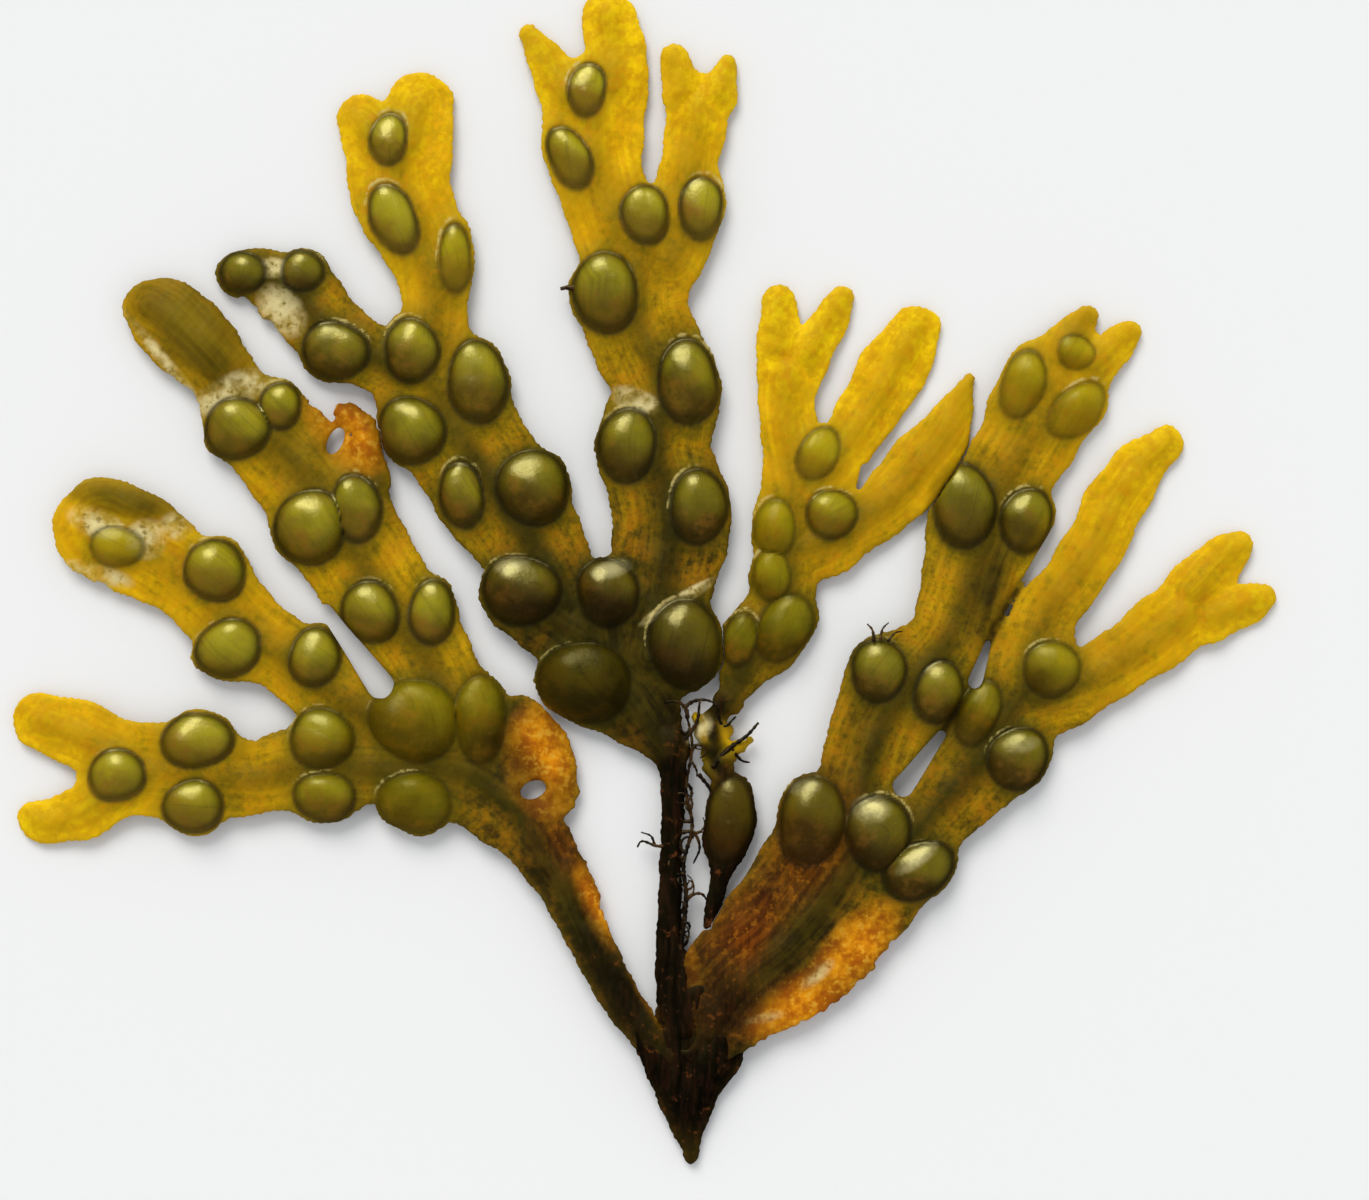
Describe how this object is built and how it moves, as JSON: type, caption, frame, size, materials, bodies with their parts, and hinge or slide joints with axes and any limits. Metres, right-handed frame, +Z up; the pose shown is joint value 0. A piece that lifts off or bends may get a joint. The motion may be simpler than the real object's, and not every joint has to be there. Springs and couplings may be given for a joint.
{
  "type": "bladder wrack seaweed",
  "caption": "Flat fan of forked olive and golden seaweed fronds with round air bladders, growing from one dark holdfast.",
  "frame": {"origin": "centre of the plan bounding box, on the surface that the seaweed lies on", "axes": "+X to the right across the fan, +Y from the holdfast towards the tips, +Z up from the surface"},
  "size_m": [0.2026, 0.1882, 0.0089],
  "materials": {
    "dark_stipe": "damp, nearly black stem",
    "brown_blade": "damp brown blade with glossy olive bladders",
    "olive_blade": "satin olive-gold blade with glossy olive bladders",
    "golden_blade": "satin golden blade, slightly translucent"
  },
  "bodies": {
    "root": {"holdfast": "dark_stipe", "left_stem": "brown_blade", "left_frond_base": "brown_blade", "left_frond_low": "olive_blade", "left_frond_middle": "olive_blade", "left_frond_high": "olive_blade", "middle_stem": "dark_stipe", "middle_frond_base": "brown_blade", "middle_frond_left": "olive_blade", "middle_frond_left_tip_low": "golden_blade", "middle_frond_left_tip_high": "golden_blade", "middle_frond_up": "olive_blade", "middle_frond_up_tip_left": "golden_blade", "middle_frond_up_tip_right": "golden_blade", "small_stem": "dark_stipe", "small_frond": "golden_blade", "small_frond_tip_middle": "golden_blade", "small_frond_tip_low": "golden_blade", "right_frond_base": "brown_blade", "right_frond_inner": "olive_blade", "right_frond_inner_tip": "golden_blade", "right_frond_outer": "olive_blade", "right_frond_outer_tip_up": "golden_blade", "right_frond_outer_tip_side": "golden_blade"}
  },
  "joints": []
}
